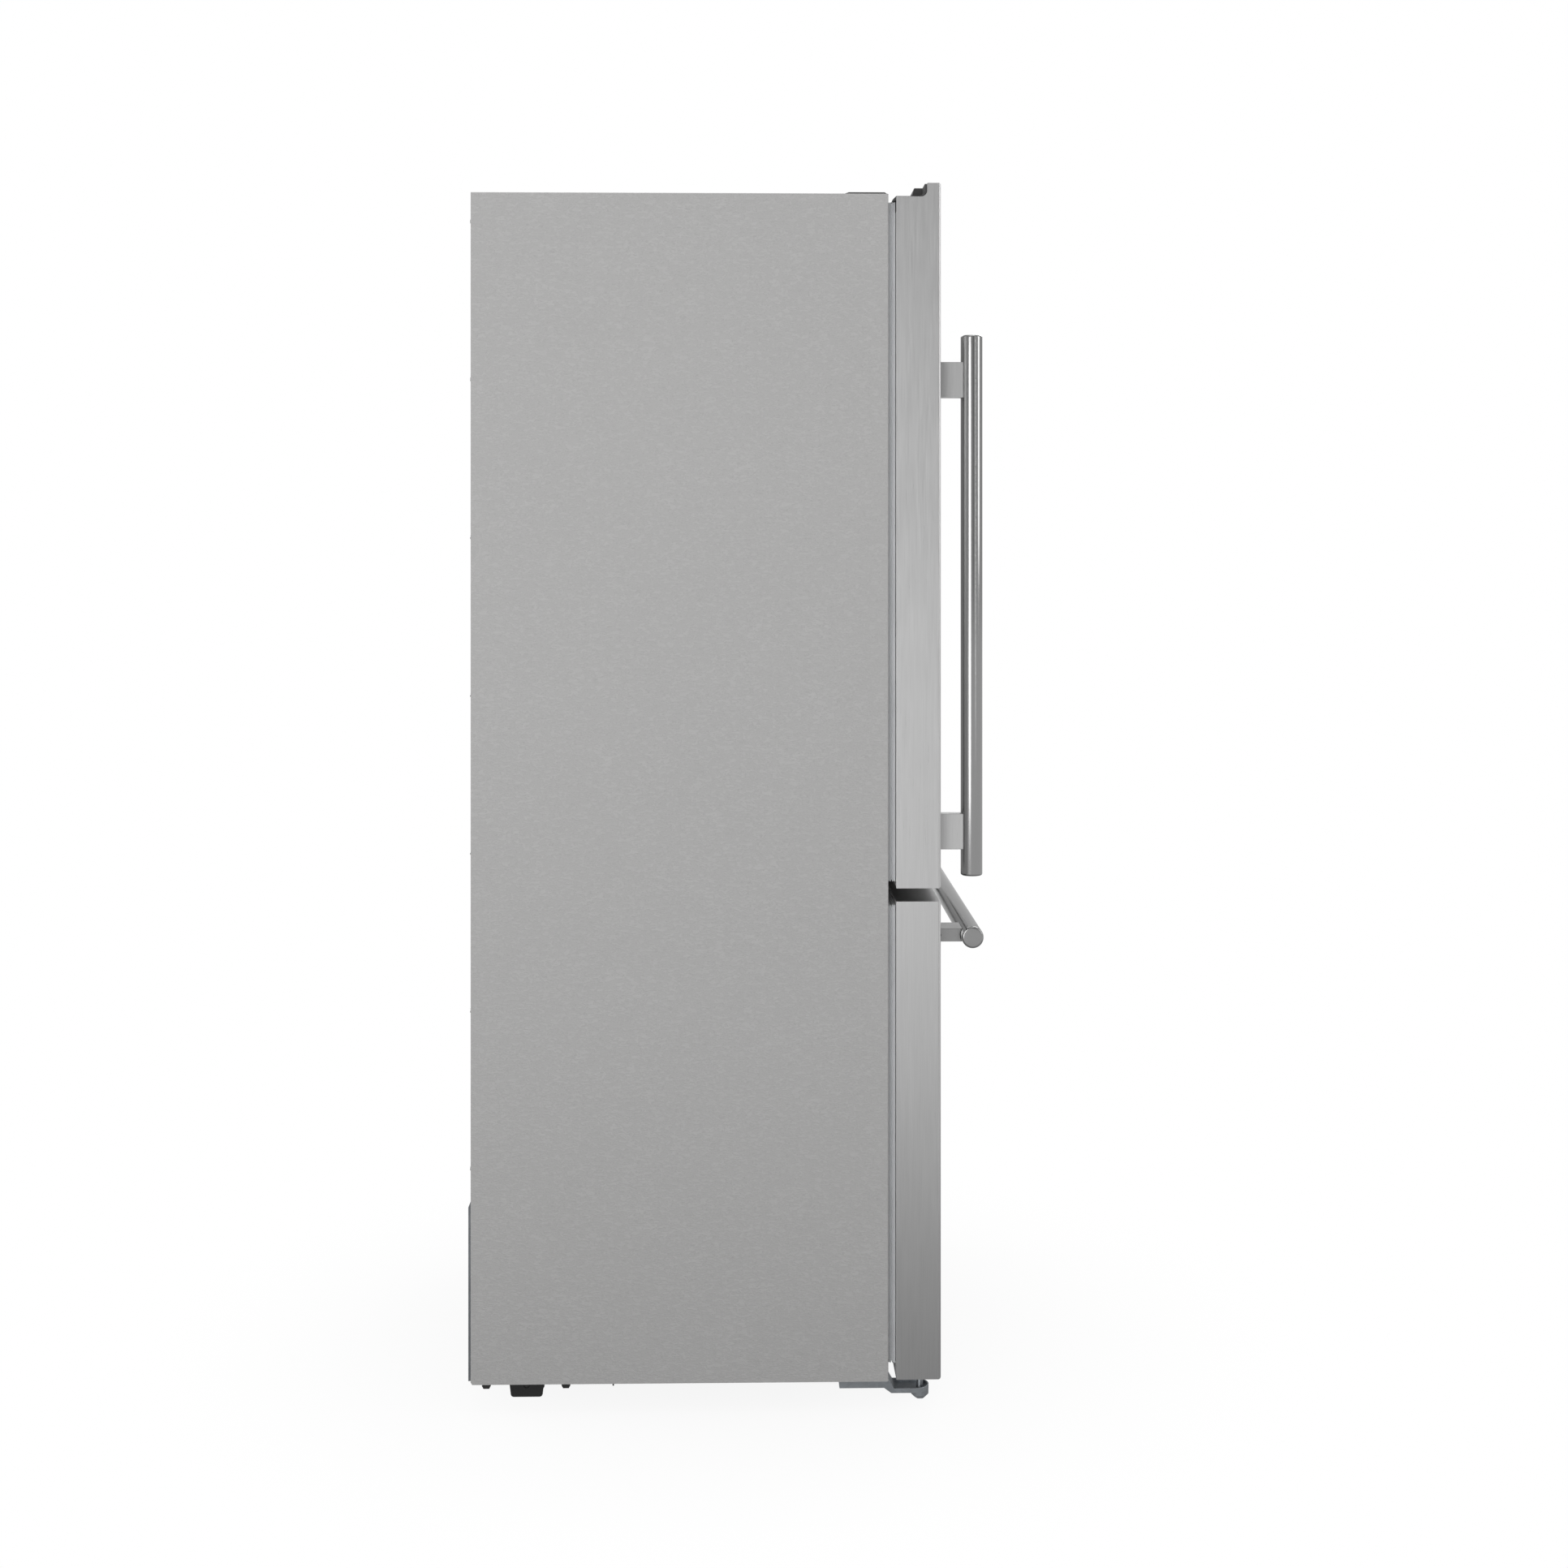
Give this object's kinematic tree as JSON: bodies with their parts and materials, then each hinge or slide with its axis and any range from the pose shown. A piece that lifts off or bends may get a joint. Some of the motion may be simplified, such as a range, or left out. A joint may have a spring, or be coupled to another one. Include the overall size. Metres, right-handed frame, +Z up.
{
  "type": "bottom-freezer refrigerator",
  "caption": "Tall free-standing refrigerator with a hinged upper door over a pull-out freezer drawer, round bar handles, shelves, crispers and a machine compartment.",
  "frame": {"origin": "on the floor, under the middle of the whole object's box", "axes": "+Z up; -Y out of the doors; +X to the right of a person who faces the doors"},
  "size_m": [0.79, 0.7732, 1.829],
  "materials": {
    "painted_side": "grey paint with a fine embossed texture",
    "stainless": "satin stainless steel",
    "galvanised": "zinc-coated steel sheet",
    "black_steel": "black enamel",
    "liner_white": "white moulded plastic",
    "clear_plastic": "clear moulded plastic",
    "grey_plastic": "dark grey moulded plastic",
    "black_plastic": "black moulded plastic",
    "gasket": "light grey soft vinyl",
    "foam": "rigid foam",
    "fins": "plain aluminium",
    "shelf_glass": "tempered glass with a moulded edge"
  },
  "bodies": {
    "cabinet": {"side_panel_left": "painted_side", "side_panel_right": "painted_side", "top_panel": "painted_side", "back_panel": "galvanised", "base_pan": "black_steel", "insulation_foam": "foam", "fresh_food_liner": "liner_white", "freezer_liner": "liner_white", "mullion_rail": "painted_side", "rear_cover": "galvanised", "compressor": "black_steel", "condenser": "black_steel", "condenser_fan_shroud": "black_plastic", "top_hinge": "galvanised", "hinge_cover": "grey_plastic", "hinge_blank_cover": "grey_plastic", "middle_hinge": "black_steel", "shelf_upper": "shelf_glass", "shelf_middle": "shelf_glass", "crisper_shelf": "shelf_glass", "air_duct": "liner_white", "ceiling_light": "liner_white", "evaporator_cover": "liner_white", "evaporator": "fins", "foot_bracket_left": "galvanised", "roller_housing_left": "black_plastic", "freezer_rail_left": "galvanised", "foot_bracket_right": "galvanised", "roller_housing_right": "black_plastic", "freezer_rail_right": "galvanised"},
    "door": {"door_foam": "foam", "door_skin": "stainless", "door_top_cap": "grey_plastic", "door_liner": "liner_white", "door_gasket": "gasket", "door_bin_lower": "clear_plastic", "door_bin_middle": "clear_plastic", "door_bin_upper": "clear_plastic", "door_handle_bar": "stainless", "door_handle_post_lower": "stainless", "door_handle_post_upper": "stainless"},
    "drawer": {"drawer_foam": "foam", "drawer_skin": "stainless", "drawer_liner": "liner_white", "drawer_gasket": "gasket", "drawer_basket": "liner_white", "drawer_handle_bar": "stainless", "drawer_handle_post_left": "stainless", "drawer_handle_post_right": "stainless"},
    "drawer_slides": {"middle_rail_left": "galvanised", "middle_rail_right": "galvanised"},
    "freezer_tray": {"freezer_tray": "clear_plastic"},
    "dairy_lid": {"dairy_lid": "clear_plastic"},
    "condenser_fan": {"condenser_fan": "black_plastic"},
    "crisper_left": {"crisper_left": "clear_plastic"},
    "levelling_foot_left": {"levelling_foot_left": "galvanised"},
    "roller_left": {"roller_left": "black_plastic"},
    "crisper_right": {"crisper_right": "clear_plastic"},
    "levelling_foot_right": {"levelling_foot_right": "galvanised"},
    "roller_right": {"roller_right": "black_plastic"}
  },
  "joints": [
    {"name": "door_hinge", "type": "hinge", "parent": "cabinet", "child": "door", "pos_m": [0.379, -0.2814, 1.3], "axis": [0, 0, 1], "range_deg": [0, 120]},
    {"name": "freezer_drawer_slide", "type": "slide", "parent": "cabinet", "child": "drawer", "axis": [0, -1, 0], "range_m": [0, 0.42]},
    {"name": "drawer_slides_extend", "type": "slide", "parent": "cabinet", "child": "drawer_slides", "axis": [0, -1, 0], "range_m": [0, 0.21]},
    {"name": "freezer_tray_slide", "type": "slide", "parent": "drawer", "child": "freezer_tray", "axis": [0, 1, 0], "range_m": [0, 0.2]},
    {"name": "dairy_lid_hinge", "type": "hinge", "parent": "door", "child": "dairy_lid", "pos_m": [0, -0.151, 1.722], "axis": [1, 0, 0], "range_deg": [0, 90]},
    {"name": "condenser_fan_spin", "type": "hinge", "parent": "cabinet", "child": "condenser_fan", "pos_m": [-0.066, 0.285, 0.15], "axis": [1, 0, 0], "continuous": true},
    {"name": "crisper_left_slide", "type": "slide", "parent": "cabinet", "child": "crisper_left", "axis": [0, -1, 0], "range_m": [0, 0.1]},
    {"name": "levelling_foot_left_screw", "type": "hinge", "parent": "cabinet", "child": "levelling_foot_left", "pos_m": [-0.345, -0.2905, 0.007], "axis": [0, 0, 1], "continuous": true},
    {"name": "roller_left_spin", "type": "hinge", "parent": "cabinet", "child": "roller_left", "pos_m": [-0.318, 0.3037, 0.019], "axis": [1, 0, 0], "continuous": true},
    {"name": "crisper_right_slide", "type": "slide", "parent": "cabinet", "child": "crisper_right", "axis": [0, -1, 0], "range_m": [0, 0.1]},
    {"name": "levelling_foot_right_screw", "type": "hinge", "parent": "cabinet", "child": "levelling_foot_right", "pos_m": [0.345, -0.2905, 0.007], "axis": [0, 0, 1], "continuous": true},
    {"name": "roller_right_spin", "type": "hinge", "parent": "cabinet", "child": "roller_right", "pos_m": [0.318, 0.3037, 0.019], "axis": [1, 0, 0], "continuous": true}
  ],
  "couplings": [
    {"joint": "drawer_slides_extend", "follows": "freezer_drawer_slide", "ratio": 0.5}
  ]
}
